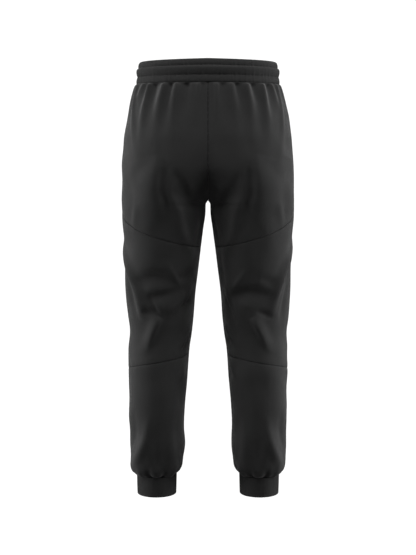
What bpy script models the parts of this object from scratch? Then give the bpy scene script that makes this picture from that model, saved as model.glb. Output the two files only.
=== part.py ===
"""Jogger sweatpants as worn: hollow walls of heavy double-knit cloth, one solid for each cut piece.

The wearer faces +Y and +Z is up, so the seat of the trousers faces -Y and the wearer's right leg is at +X.
The origin is the middle of the waistband, where the wearer's waist holds the garment up. Metres throughout.

Each leg is one ring of cloth, carried down from the waist. The ring is a superellipse. Above the crotch it
runs past the middle plane and is cut off there, which leaves the centre seams; below it the ring is whole.
A place on a leg is (girth, height): girth is 0 at the back's inner edge, 1 at the side seam and 2 at the
front's inner edge.
"""

from collections import namedtuple

import bpy
import numpy as np

# ---------------------------------------------------------------- sizes

CLOTH = 0.002  # wall of double-knit cloth
SEAM_GAP = 0.0003  # clearance between neighbouring pieces
BAND_WALL = 0.0035  # waistband: folded rib over wide elastic, at its stitch rows
BAND_PUFF = 0.0022  # how far each channel of the waistband stands proud of its stitch rows
BAND_CHANNELS = 3
CUFF_WALL = 0.003  # folded rib

# Heights of the seams at the inner edge (centre seam or inseam) and at the side seam, and the power of the
# curve between them: 1 is straight, more keeps it near its inner height for longer.
SeamLine = namedtuple("SeamLine", "inner_back inner_front side power")
BAND_TOP = SeamLine(0.0270, 0.0160, 0.0205, 1.0)
WAIST_SEAM = SeamLine(-0.0260, -0.0330, -0.0275, 1.0)
CROTCH_LINE = SeamLine(-0.2940, -0.2940, -0.2600, 1.6)
THIGH_SEAM = SeamLine(-0.4020, -0.4020, -0.3160, 1.8)
CALF_SEAM = SeamLine(-0.6520, -0.6520, -0.6890, 1.7)
CUFF_SEAM = SeamLine(-0.9390, -0.9390, -0.9390, 1.0)

# The ring of one leg at each height: its outer edge and inner edge from the middle plane, its back and front,
# and the superellipse's power. A negative inner edge lies past the middle plane.
Ring = namedtuple("Ring", "height outer inner back front power")
RINGS = (
    Ring(0.027, 0.1540, -0.1540, -0.101, 0.102, 2.35),
    Ring(0.018, 0.1573, -0.1573, -0.103, 0.104, 2.35),
    Ring(-0.003, 0.1612, -0.1612, -0.106, 0.107, 2.35),
    Ring(-0.026, 0.1638, -0.1638, -0.108, 0.110, 2.35),
    Ring(-0.045, 0.1705, -0.1700, -0.114, 0.115, 2.35),
    Ring(-0.081, 0.1808, -0.1700, -0.123, 0.120, 2.35),
    Ring(-0.118, 0.1877, -0.1590, -0.132, 0.123, 2.40),
    Ring(-0.155, 0.1940, -0.1390, -0.139, 0.124, 2.40),
    Ring(-0.210, 0.1975, -0.0850, -0.142, 0.122, 2.40),
    Ring(-0.250, 0.1990, -0.0330, -0.137, 0.119, 2.40),
    Ring(-0.284, 0.2000, -0.0052, -0.129, 0.116, 2.35),
    Ring(-0.294, 0.2003, 0.0000, -0.127, 0.115, 2.35),
    Ring(-0.304, 0.2001, 0.0050, -0.125, 0.115, 2.35),
    Ring(-0.322, 0.1997, 0.0062, -0.121, 0.114, 2.30),
    Ring(-0.359, 0.1977, 0.0105, -0.115, 0.113, 2.25),
    Ring(-0.400, 0.1944, 0.0158, -0.110, 0.111, 2.20),
    Ring(-0.453, 0.1940, 0.0222, -0.103, 0.107, 2.15),
    Ring(-0.509, 0.1925, 0.0292, -0.095, 0.101, 2.10),
    Ring(-0.566, 0.1886, 0.0335, -0.085, 0.094, 2.10),
    Ring(-0.604, 0.1845, 0.0372, -0.081, 0.088, 2.10),
    Ring(-0.642, 0.1868, 0.0431, -0.083, 0.081, 2.10),
    Ring(-0.700, 0.1870, 0.0475, -0.089, 0.071, 2.10),
    Ring(-0.770, 0.1868, 0.0533, -0.089, 0.062, 2.10),
    Ring(-0.830, 0.1845, 0.0560, -0.085, 0.056, 2.10),
    Ring(-0.870, 0.1858, 0.0550, -0.083, 0.053, 2.10),
    Ring(-0.900, 0.1842, 0.0580, -0.080, 0.050, 2.10),
    Ring(-0.918, 0.1830, 0.0600, -0.077, 0.046, 2.10),
    Ring(-0.930, 0.1793, 0.0650, -0.072, 0.040, 2.10),
    Ring(-0.939, 0.1700, 0.0735, -0.065, 0.033, 2.05),
)

# The cuff is a plain tube that narrows a little towards the hem.
CuffRing = namedtuple("CuffRing", "height outer inner back front")
CUFF_RINGS = (
    CuffRing(-0.939, 0.1685, 0.0740, -0.0640, 0.0320),
    CuffRing(-0.955, 0.1675, 0.0750, -0.0630, 0.0310),
    CuffRing(-0.972, 0.1672, 0.0754, -0.0625, 0.0305),
    CuffRing(-0.987, 0.1672, 0.0754, -0.0625, 0.0305),
)

# Gathers under the waistband: the girth of each ridge, its length down the leg, and how far its lower end
# drifts round the leg.
Gather = namedtuple("Gather", "girth length drift")
GATHERS = {
    "right": (
        Gather(0.073, 0.055, 0.01),
        Gather(0.197, 0.075, 0.03),
        Gather(0.326, 0.080, 0.03),
        Gather(0.488, 0.085, 0.03),
        Gather(0.636, 0.085, 0.02),
        Gather(0.760, 0.110, 0.01),
        Gather(0.900, 0.080, 0.00),
        Gather(1.100, 0.080, 0.00),
        Gather(1.260, 0.095, -0.02),
        Gather(1.430, 0.080, -0.03),
        Gather(1.590, 0.070, -0.03),
        Gather(1.750, 0.075, -0.02),
        Gather(1.900, 0.050, -0.01),
    ),
    "left": (
        Gather(0.086, 0.050, 0.01),
        Gather(0.258, 0.070, 0.03),
        Gather(0.383, 0.085, 0.04),
        Gather(0.550, 0.090, 0.03),
        Gather(0.745, 0.115, 0.01),
        Gather(0.890, 0.080, 0.00),
        Gather(1.090, 0.085, 0.00),
        Gather(1.240, 0.085, -0.02),
        Gather(1.400, 0.090, -0.03),
        Gather(1.560, 0.065, -0.03),
        Gather(1.730, 0.080, -0.02),
        Gather(1.890, 0.055, -0.01),
    ),
}
GATHER_HEIGHT = 0.0045
GATHER_WIDTH = 0.008

# The largest folds: each runs from one (girth, height) to another as a soft ridge, or as a trough where its
# rise is negative. Width is the half width of the soft crest, and bow is how far its middle swings up.
Fold = namedtuple("Fold", "girth height girth_end height_end rise width bow")
FOLDS = {
    "right": (
        Fold(0.34, -0.215, 0.40, -0.290, -0.0030, 0.014, 0.000),  # under the seat
        Fold(0.42, -0.275, 0.26, -0.390, 0.0045, 0.016, 0.000),
        Fold(0.90, -0.435, 0.64, -0.545, 0.0070, 0.013, 0.014),  # behind the knee
        Fold(0.63, -0.503, 0.27, -0.505, -0.0065, 0.012, 0.012),
        Fold(0.50, -0.542, 0.66, -0.554, -0.0045, 0.009, 0.000),
        Fold(0.45, -0.560, 0.74, -0.645, 0.0065, 0.015, 0.000),
        Fold(0.60, -0.780, 0.80, -0.915, 0.0045, 0.017, -0.012),  # above the cuff
        Fold(1.20, -0.540, 1.75, -0.525, -0.0045, 0.014, 0.008),  # in front of the knee
        Fold(1.15, -0.640, 1.80, -0.630, -0.0040, 0.015, -0.008),
        Fold(1.55, -0.235, 1.85, -0.330, 0.0045, 0.016, 0.000),  # at the front of the crotch
    ),
    "left": (
        Fold(0.36, -0.220, 0.46, -0.310, -0.0030, 0.014, 0.000),
        Fold(0.39, -0.270, 0.26, -0.390, 0.0045, 0.016, 0.000),
        Fold(0.90, -0.435, 0.66, -0.545, 0.0070, 0.013, 0.014),
        Fold(0.68, -0.468, 0.42, -0.468, -0.0045, 0.011, 0.013),
        Fold(0.62, -0.503, 0.24, -0.491, -0.0055, 0.011, 0.006),
        Fold(0.60, -0.512, 0.47, -0.560, -0.0035, 0.010, 0.000),
        Fold(0.47, -0.563, 0.74, -0.635, 0.0065, 0.015, 0.000),
        Fold(0.61, -0.780, 0.82, -0.915, 0.0045, 0.017, -0.012),
        Fold(1.22, -0.530, 1.78, -0.530, -0.0045, 0.014, 0.008),
        Fold(1.15, -0.645, 1.80, -0.625, -0.0040, 0.015, -0.008),
        Fold(1.55, -0.240, 1.85, -0.325, 0.0045, 0.016, 0.000),
    ),
}
SEAM_FADE = 0.06  # girth over which the folds die away at the inner seams
CLOSE_WALLS = 0.020  # the folds also die away where the leg's wall is nearer than this to the middle plane

# Rows of the mesh between one seam and the next, and columns of the rings.
ROWS_HIP, ROWS_THIGH, ROWS_KNEE, ROWS_CALF = 10, 4, 12, 8
BAND_COLUMNS = 40
CUFF_COLUMNS = 28
CROTCH_CROWDING = 1.5  # above 1, the rows crowd towards the crotch

# ---------------------------------------------------------------- materials

CHARCOAL_KNIT = (0.024, 0.024, 0.024, 1.0)
CHARCOAL_RIB = (0.027, 0.027, 0.027, 1.0)


def cloth_material(name, colour, roughness):
    material = bpy.data.materials.new(name)
    material.use_nodes = True
    shader = material.node_tree.nodes["Principled BSDF"]
    shader.inputs["Base Color"].default_value = colour
    shader.inputs["Roughness"].default_value = roughness
    shader.inputs["Metallic"].default_value = 0.0
    return material


# ---------------------------------------------------------------- the form of a leg


def table_column(rows, name, heights):
    """A table's column at any height: cubic Hermite pieces whose slopes are the harmonic mean of the slopes on
    both sides, so the curve is smooth and never overshoots a row of the table."""
    rows = sorted(rows)
    x = np.array([row.height for row in rows])
    y = np.array([getattr(row, name) for row in rows])
    step, rise = np.diff(x), np.diff(y) / np.diff(x)
    slope = np.zeros(len(x))
    same_way = rise[:-1] * rise[1:] > 0
    both = rise[:-1] + rise[1:]
    slope[1:-1] = np.where(same_way, 2 * rise[:-1] * rise[1:] / np.where(same_way, both, 1), 0)
    slope[0], slope[-1] = rise[0], rise[-1]
    place = np.clip(heights, x[0], x[-1])
    i = np.clip(np.searchsorted(x, place) - 1, 0, len(x) - 2)
    t = (place - x[i]) / step[i]
    return (
        (1 + 2 * t) * (1 - t) ** 2 * y[i]
        + t * (1 - t) ** 2 * step[i] * slope[i]
        + t**2 * (3 - 2 * t) * y[i + 1]
        + t**2 * (t - 1) * step[i] * slope[i + 1]
    )


def ring_at(height):
    """Centre x, half width, centre y, half depth and power of a leg's ring."""
    outer, inner = table_column(RINGS, "outer", height), table_column(RINGS, "inner", height)
    back, front = table_column(RINGS, "back", height), table_column(RINGS, "front", height)
    power = table_column(RINGS, "power", height)
    return (outer + inner) / 2, (outer - inner) / 2, (front + back) / 2, (front - back) / 2, power


def base_point(girth, height):
    """A point of the smooth right leg, before any fold. The angle round the ring runs evenly with the girth, up
    to the angle at which the ring meets the middle plane, or to half a turn below the crotch."""
    centre, half_width, middle, half_depth, power = ring_at(height)
    parting = np.clip(centre / half_width, 1e-4, 1.0)
    reach = np.pi - np.arctan((parting**-power - 1) ** (1 / power))
    angle = -(1 - girth) * reach
    cosine, sine = np.cos(angle), np.sin(angle)
    radius = (np.abs(cosine) ** power + np.abs(sine) ** power) ** (-1 / power)
    x = centre + half_width * radius * cosine
    y = middle + half_depth * radius * sine
    return np.stack([x, y, height + np.zeros_like(x)], axis=-1)


def outward(points):
    """Unit normals of the smooth leg: the slope of the superellipse's own equation, by small differences."""

    def equation(p):
        centre, half_width, middle, half_depth, power = ring_at(p[..., 2])
        u, v = np.abs(p[..., 0] - centre) / half_width, np.abs(p[..., 1] - middle) / half_depth
        return (u**power + v**power) ** (1 / power)

    small = 0.0005
    slopes = [(equation(points + small * axis) - equation(points - small * axis)) for axis in np.eye(3)]
    normal = np.stack(slopes, axis=-1)
    return normal / np.linalg.norm(normal, axis=-1, keepdims=True)


def soft_ridge(girth, height, fold):
    """Height of one fold: a bell across it, and half a sine wave along it, blunted at its ends."""
    _, half_width, _, half_depth, _ = ring_at(np.array([fold.height, fold.height_end]))
    half_girth = np.pi * (half_width + half_depth).mean() / 2
    along = np.array([(fold.girth_end - fold.girth) * half_girth, fold.height_end - fold.height])
    length = np.hypot(*along)
    offset = np.stack([(girth - fold.girth) * half_girth, height - fold.height], axis=-1)
    share = np.clip(offset @ along / length**2, 0, 1)
    nearest = offset - share[..., None] * along
    nearest[..., 1] -= 4 * fold.bow * share * (1 - share)
    across = np.linalg.norm(nearest, axis=-1) / fold.width
    return fold.rise * np.exp(-(across**2)) * np.sin(np.pi * (0.1 + 0.8 * share)) ** 0.6


def gather_ridge(girth, height, gather):
    """Height of one gather: a bell across it that widens and dies away down the leg."""
    drop = np.clip((WAIST_SEAM.side - height) / gather.length, 0, None)
    _, half_width, _, half_depth, _ = ring_at(np.array([WAIST_SEAM.side - gather.length / 2]))
    half_girth = np.pi * (half_width + half_depth)[0] / 4
    across = (girth - gather.girth - gather.drift * drop) * half_girth / (GATHER_WIDTH * (1 + drop))
    return GATHER_HEIGHT * np.exp(-(across**2) - drop**2)


def soft_step(value):
    value = np.clip(value, 0, 1)
    return value * value * (3 - 2 * value)


def relief(girth, height, side):
    """How far the folds push the cloth out."""
    total = sum(soft_ridge(girth, height, fold) for fold in FOLDS[side])
    return total + sum(gather_ridge(girth, height, gather) for gather in GATHERS[side])


def cloth_faces(girth, height, side):
    """Points of the cloth's outer and inner faces. The folds fade to nothing at the inner seams and where the
    legs' walls come close to each other."""
    base = base_point(girth, height)
    normal = outward(base)
    room = soft_step(np.minimum(girth, 2 - girth) / SEAM_FADE) * soft_step(base[..., 0] / CLOSE_WALLS)
    rise = (room * relief(girth, height, side))[..., None]
    return [base + (rise - depth) * normal for depth in (0, CLOTH)]


def seam_height(seam, girth):
    """Height of a seam line at each girth: it runs from its inner height to its side height as a power curve."""
    inner = np.where(girth <= 1, seam.inner_back, seam.inner_front)
    share = 1 - np.abs(1 - girth)
    return inner + (seam.side - inner) * share**seam.power


def stations(side, start, end):
    """Girths of the mesh's columns: every gather's ridge, and the trough halfway to the next."""
    ridges = [g.girth for g in GATHERS[side] if start < g.girth < end]
    ends = [start, *ridges, end]
    troughs = [(a + b) / 2 for a, b in zip(ridges, ridges[1:])]
    return np.array(sorted(ends + troughs))


# ---------------------------------------------------------------- meshes


def wall_object(name, outer, inner, closed_round, material):
    """One wall from two equal grids of points, rows by columns, joined along their edges. A closed wall's last
    column joins its first."""
    rows, columns = outer.shape[:2]
    index = np.arange(rows * columns).reshape(rows, columns)
    if closed_round:
        index = np.concatenate([index, index[:, :1]], axis=1)
    a, b, c, d = index[:-1, :-1], index[:-1, 1:], index[1:, 1:], index[1:, :-1]
    front = np.stack([a, d, c, b], axis=-1).reshape(-1, 4)
    back = front[:, ::-1] + rows * columns
    edges = [index[0, :], index[-1, ::-1]]
    if not closed_round:
        edges += [index[::-1, 0], index[:, -1]]
    rims = []
    for edge in edges:
        start, end = edge[:-1], edge[1:]
        rims.append(np.stack([start, end, end + rows * columns, start + rows * columns], axis=-1))
    faces = np.concatenate([front, back, *rims])
    points = np.concatenate([outer.reshape(-1, 3), inner.reshape(-1, 3)])
    mesh = bpy.data.meshes.new(name)
    mesh.from_pydata(points.tolist(), [], faces.tolist())
    mesh.validate()
    mesh.materials.append(material)
    mesh.shade_smooth()
    piece = bpy.data.objects.new(name, mesh)
    return piece


def inset_edges(grid, gap, closed_round=False):
    """Draws a grid's edges in by half the seam gap, towards the next row or column."""
    grid = grid.copy()

    def draw_in(edge, beside):
        step = beside - edge
        edge += step * gap / 2 / np.linalg.norm(step, axis=-1, keepdims=True)

    draw_in(grid[0], grid[1])
    draw_in(grid[-1], grid[-2])
    if not closed_round:
        draw_in(grid[:, 0], grid[:, 1])
        draw_in(grid[:, -1], grid[:, -2])
    return grid


def mirrored(grid):
    """The left leg's grid from the right leg's, with its columns turned round so its faces still point out."""
    grid = grid[:, ::-1].copy()
    grid[..., 0] *= -1
    return grid


def row_heights(stretches, girths):
    """Heights of the mesh's rows: each pair of seam lines with the shares of the way between them."""
    heights = []
    for upper, lower, shares in stretches:
        top, bottom = seam_height(upper, girths), seam_height(lower, girths)
        heights += [top + (bottom - top) * share for share in shares]
    heights.append(seam_height(stretches[-1][1], girths))
    return np.array(heights)


def even(count):
    return np.arange(count) / count


HIP_ROWS = (WAIST_SEAM, CROTCH_LINE, 1 - (1 - even(ROWS_HIP)) ** CROTCH_CROWDING)
THIGH_ROWS = (CROTCH_LINE, THIGH_SEAM, even(ROWS_THIGH) ** CROTCH_CROWDING)
KNEE_ROWS = (THIGH_SEAM, CALF_SEAM, even(ROWS_KNEE))
CALF_ROWS = (CALF_SEAM, CUFF_SEAM, even(ROWS_CALF))

# Each panel: the girths of its two upright edges, and its rows.
PANELS = {
    "back_seat": (0.0, 1.0, [HIP_ROWS, THIGH_ROWS]),
    "back_knee": (0.0, 1.0, [KNEE_ROWS]),
    "back_calf": (0.0, 1.0, [CALF_ROWS]),
    "front_leg": (1.0, 2.0, [HIP_ROWS, THIGH_ROWS, KNEE_ROWS, CALF_ROWS]),
}


def leg_panel(name, side, material):
    start, end, stretches = PANELS[name]
    girths = stations(side, start, end)
    heights = row_heights(stretches, girths)
    girths = np.broadcast_to(girths, heights.shape)
    outer, inner = (inset_edges(face, SEAM_GAP) for face in cloth_faces(girths, heights, side))
    for face in (outer, inner):
        face[..., 0] = np.maximum(face[..., 0], SEAM_GAP / 2)
    if side == "left":
        outer, inner = mirrored(outer), mirrored(inner)
    return wall_object(f"{name}_{side}", outer, inner, False, material)


def waistband(material):
    """A closed ring that runs round both halves. It puffs between its rows of stitching and its inner face is
    smooth."""
    around = np.arange(BAND_COLUMNS) / BAND_COLUMNS * 4
    right = around <= 2
    girths = np.where(right, around, 4 - around)
    rows = 2 * BAND_CHANNELS
    share = np.arange(rows, -1, -1)[:, None] / rows
    low, high = seam_height(WAIST_SEAM, girths), seam_height(BAND_TOP, girths)
    heights = low + (high - low) * share
    girths = np.broadcast_to(girths, heights.shape)
    base = base_point(girths, heights)
    normal = outward(base)
    normal[..., 2] = 0
    normal /= np.linalg.norm(normal, axis=-1, keepdims=True)
    puff = BAND_PUFF * np.abs(np.sin(np.pi * BAND_CHANNELS * share))[..., None]
    outer, inner = base + puff * normal, base - BAND_WALL * normal
    mirror = np.where(right, 1, -1)
    for face in (outer, inner):
        face[..., 0] *= mirror
    outer, inner = (inset_edges(face, SEAM_GAP, True) for face in (outer, inner))
    return wall_object("waistband", outer, inner, True, material)


def cuff(side, material):
    """A tube round the ankle."""
    angles = 2 * np.pi * np.arange(CUFF_COLUMNS) / CUFF_COLUMNS
    heights = np.array([ring.height for ring in CUFF_RINGS])[:, None] + np.zeros(CUFF_COLUMNS)
    faces = []
    for depth in (0, CUFF_WALL):
        columns = np.array([ring[1:] for ring in CUFF_RINGS])
        outer_x, inner_x, back, front = (columns[:, i, None] for i in range(4))
        x = (outer_x + inner_x) / 2 + ((outer_x - inner_x) / 2 - depth) * np.sin(angles)
        y = (back + front) / 2 - ((front - back) / 2 - depth) * np.cos(angles)
        faces.append(inset_edges(np.stack([x, y, heights], axis=-1), SEAM_GAP, True))
    outer, inner = faces
    if side == "left":
        outer, inner = mirrored(outer), mirrored(inner)
    return wall_object(f"cuff_{side}", outer, inner, True, material)


# ---------------------------------------------------------------- the garment


def main():
    for old in list(bpy.data.objects):
        bpy.data.objects.remove(old)
    knit = cloth_material("charcoal_double_knit", CHARCOAL_KNIT, 0.85)
    rib = cloth_material("charcoal_rib_knit", CHARCOAL_RIB, 0.8)
    garment = bpy.data.collections.new("jogger_sweatpants")
    bpy.context.scene.collection.children.link(garment)
    pieces = [waistband(rib)]
    for side in ("right", "left"):
        pieces += [leg_panel(name, side, knit) for name in PANELS]
        pieces.append(cuff(side, rib))
    for piece in pieces:
        garment.objects.link(piece)


main()
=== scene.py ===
"""Jogger sweatpants of heavy charcoal double knit, filled out as they are when worn.

Each cut panel is a thin shell of cloth on the form of its solid. The wearer faces +Y, +Z is up, and the
wearer's right leg is at +X. A place on a leg is (girth, height): girth is 0 at the back's inner edge, 1 at
the side seam and 2 at the front's inner edge, and height is in metres.
"""

from collections import namedtuple
from math import pi

import bmesh
import bpy
import numpy as np
from bpy.props import FloatProperty, FloatVectorProperty, PointerProperty
from bpy.types import Operator, Panel, PropertyGroup
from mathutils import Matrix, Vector


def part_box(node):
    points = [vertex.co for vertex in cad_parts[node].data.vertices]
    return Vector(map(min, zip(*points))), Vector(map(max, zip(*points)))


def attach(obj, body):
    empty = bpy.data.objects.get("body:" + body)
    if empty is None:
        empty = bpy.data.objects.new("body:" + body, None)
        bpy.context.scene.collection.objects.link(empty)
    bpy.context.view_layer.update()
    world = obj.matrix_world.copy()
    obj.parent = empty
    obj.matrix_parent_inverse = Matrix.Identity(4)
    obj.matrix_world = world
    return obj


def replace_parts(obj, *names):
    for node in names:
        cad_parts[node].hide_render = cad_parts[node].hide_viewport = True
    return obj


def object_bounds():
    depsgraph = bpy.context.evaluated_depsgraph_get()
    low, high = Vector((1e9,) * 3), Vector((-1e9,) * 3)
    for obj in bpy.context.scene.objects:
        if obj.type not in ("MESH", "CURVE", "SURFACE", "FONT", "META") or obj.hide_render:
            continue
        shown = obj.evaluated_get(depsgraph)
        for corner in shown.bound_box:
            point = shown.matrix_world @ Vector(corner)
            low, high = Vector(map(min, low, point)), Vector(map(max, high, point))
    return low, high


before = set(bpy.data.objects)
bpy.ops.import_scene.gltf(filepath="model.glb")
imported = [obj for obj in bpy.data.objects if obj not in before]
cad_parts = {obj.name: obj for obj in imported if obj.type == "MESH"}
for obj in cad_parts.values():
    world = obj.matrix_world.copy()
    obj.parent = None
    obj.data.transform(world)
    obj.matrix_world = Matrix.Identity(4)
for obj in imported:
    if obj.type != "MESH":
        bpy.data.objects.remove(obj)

CAD_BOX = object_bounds()

bl_info = {
    "name": "Jogger Sweatpants",
    "version": (1, 0, 0),
    "blender": (4, 5, 0),
    "location": "View3D > Sidebar > Joggers",
    "description": "Builds worn jogger sweatpants panel by panel, with their seams, ribs and stitching",
    "category": "Add Mesh",
}


def linear(hex_colour):
    """An sRGB hex colour as linear red, green and blue."""
    srgb = np.array([int(hex_colour[i : i + 2], 16) / 255 for i in (1, 3, 5)])
    return np.where(srgb <= 0.04045, srgb / 12.92, ((srgb + 0.055) / 1.055) ** 2.4).tolist()


def table(kind, *rows):
    """Named tuples from rows in thousandths: in millimetres, and in thousandths of a girth or power."""
    return [kind(*(value / 1000 for value in row)) for row in rows]


# ---------------- the cut

# Heights of the seams at the inner edge and at the side seam, and the power of the curve between them.
SeamLine = namedtuple("SeamLine", "inner_back inner_front side power")
BAND_TOP = SeamLine(0.0270, 0.0160, 0.0205, 1.0)
WAIST_SEAM = SeamLine(-0.0260, -0.0330, -0.0275, 1.0)
THIGH_SEAM = SeamLine(-0.4020, -0.4020, -0.3160, 1.8)
CALF_SEAM = SeamLine(-0.6520, -0.6520, -0.6890, 1.7)
CUFF_SEAM = SeamLine(-0.9390, -0.9390, -0.9390, 1.0)

# The ring of one leg at each height: its outer and inner edge from the middle plane, its back and front, and
# the power of the superellipse. A negative inner edge lies past the middle plane.
Ring = namedtuple("Ring", "height outer inner back front power")
RINGS = table(
    Ring,
    (27, 154, -154, -101, 102, 2350),
    (18, 157.3, -157.3, -103, 104, 2350),
    (-3, 161.2, -161.2, -106, 107, 2350),
    (-26, 163.8, -163.8, -108, 110, 2350),
    (-45, 170.5, -170, -114, 115, 2350),
    (-81, 180.8, -170, -123, 120, 2350),
    (-118, 187.7, -159, -132, 123, 2400),
    (-155, 194, -139, -139, 124, 2400),
    (-210, 197.5, -85, -142, 122, 2400),
    (-250, 199, -33, -137, 119, 2400),
    (-284, 200, -5.2, -129, 116, 2350),
    (-294, 200.3, -1.6, -127, 115, 2350),
    (-299, 200.2, 4, -126, 115, 2350),
    (-304, 200.1, 5, -125, 115, 2350),
    (-322, 199.7, 5.5, -121, 114, 2300),
    (-359, 197.7, 10.5, -115, 113, 2250),
    (-400, 194.4, 15.8, -110, 111, 2200),
    (-453, 194, 22.2, -103, 107, 2150),
    (-509, 192.5, 29.2, -95, 101, 2100),
    (-566, 188.6, 33.5, -85, 94, 2100),
    (-604, 184.5, 37.2, -81, 88, 2100),
    (-642, 186.8, 43.1, -83, 81, 2100),
    (-700, 187, 47.5, -89, 71, 2100),
    (-770, 186.8, 53.3, -89, 62, 2100),
    (-830, 184.5, 56, -85, 56, 2100),
    (-870, 185.8, 55, -83, 53, 2100),
    (-900, 184.2, 58, -80, 50, 2100),
    (-918, 183, 60, -77, 46, 2100),
    (-930, 179.3, 65, -72, 40, 2100),
    (-939, 170, 73.5, -65, 33, 2050),
)

# The cuff is a plain tube that narrows a little towards the hem.
CuffRing = namedtuple("CuffRing", "height outer inner back front")
CUFF_RINGS = table(
    CuffRing,
    (-939, 168.5, 74, -64, 32),
    (-955, 167.5, 75, -63, 31),
    (-972, 167.2, 75.4, -62.5, 30.5),
    (-987, 167.2, 75.4, -62.5, 30.5),
)

# Each panel: its solid, the girths of its upright edges, its upper and lower seams, the rectangle that it is
# cut from, and the share of the rectangle that it fills.
Cut = namedtuple("Cut", "solid start end upper lower width length share")
CUTS = (
    Cut("back_seat", 0, 1, WAIST_SEAM, THIGH_SEAM, 0.370, 0.460, 0.61),
    Cut("back_knee", 0, 1, THIGH_SEAM, CALF_SEAM, 0.340, 0.375, 0.67),
    Cut("back_calf", 0, 1, CALF_SEAM, CUFF_SEAM, 0.245, 0.293, 0.86),
    Cut("front_leg", 1, 2, WAIST_SEAM, CUFF_SEAM, 0.360, 0.990, 0.69),
)
SIDES = ("right", "left")

# The waistband's channels from the top down: the share of its height, how far each puffs out, and where its
# crest is in it.
Channel = namedtuple("Channel", "share puff crest")
CHANNELS = (Channel(0.29, 0.0014, 0.45), Channel(0.39, 0.0036, 0.28), Channel(0.32, 0.0012, 0.60))
STITCH_ROWS = (0.29, 0.68)
BAND_TALL = 0.050
BAND_GROOVE = 0.0016  # half width of a stitched groove
WAIST_SAMPLES = 4001
FOLD_SHARE = 0.25  # how far the rib's pressed folds bow out, as a share of its thickness
BOWED = 1.08  # length of a rib's bowed face for one of its height

# ---------------- creases

# Gathers under the waistband: the girth of each ridge at the seam and lower down, its length, how far it
# stands out, and the half width of its crest at the seam. A trough between two ridges sinks in.
Gather = namedtuple("Gather", "girth girth_low length rise width")
GATHERS = {}
GATHERS["right"] = table(
    Gather,
    (76, 62, 60, 7.5, 5.5),
    (116, 119, 45, -3.9, 6),
    (202, 216, 80, 7, 5.8),
    (244, 264, 50, -5.5, 5.5),
    (332, 346, 90, 8, 5.5),
    (390, 416, 55, -5.7, 5.5),
    (488, 480, 95, 7, 5),
    (560, 533, 50, -4.7, 6),
    (618, 632, 55, 4.5, 4.2),
    (722, 640, 115, 5.5, 4.8),
    (850, 850, 80, 3.8, 5.2),
    (985, 975, 60, 2.7, 5.9),
    (1110, 1095, 85, 4, 5.6),
    (1255, 1225, 95, 5.5, 5.9),
    (1400, 1370, 70, 5.3, 4.9),
    (1530, 1500, 90, 6.5, 5.9),
    (1675, 1650, 65, 6.8, 5.2),
    (1800, 1780, 75, 6.4, 6.3),
    (1915, 1905, 50, 4.4, 5.6),
)
GATHERS["left"] = table(
    Gather,
    (45, 40, 45, -5.7, 5),
    (82, 82, 55, 7, 5.2),
    (108, 107, 45, -2.3, 4),
    (134, 143, 55, 5.2, 5),
    (175, 172, 60, -6, 5.5),
    (266, 287, 85, 7.8, 5.5),
    (321, 335, 70, -6, 5.8),
    (376, 404, 85, 8.8, 6.2),
    (470, 468, 60, -5.5, 5.8),
    (540, 547, 95, 7.5, 4.8),
    (598, 591, 45, -3.1, 5.5),
    (640, 680, 30, 4, 4.2),
    (776, 640, 115, 5.5, 5),
    (835, 835, 75, 3.6, 5.6),
    (960, 950, 65, 3.2, 5.6),
    (1085, 1070, 80, 3.8, 5.2),
    (1215, 1190, 90, 5.5, 5.9),
    (1365, 1330, 80, 5.9, 5.2),
    (1510, 1480, 75, 5.6, 5.9),
    (1640, 1620, 85, 7.2, 5.2),
    (1780, 1765, 60, 6, 5.6),
    (1905, 1900, 50, 4, 5.6),
)

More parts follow.
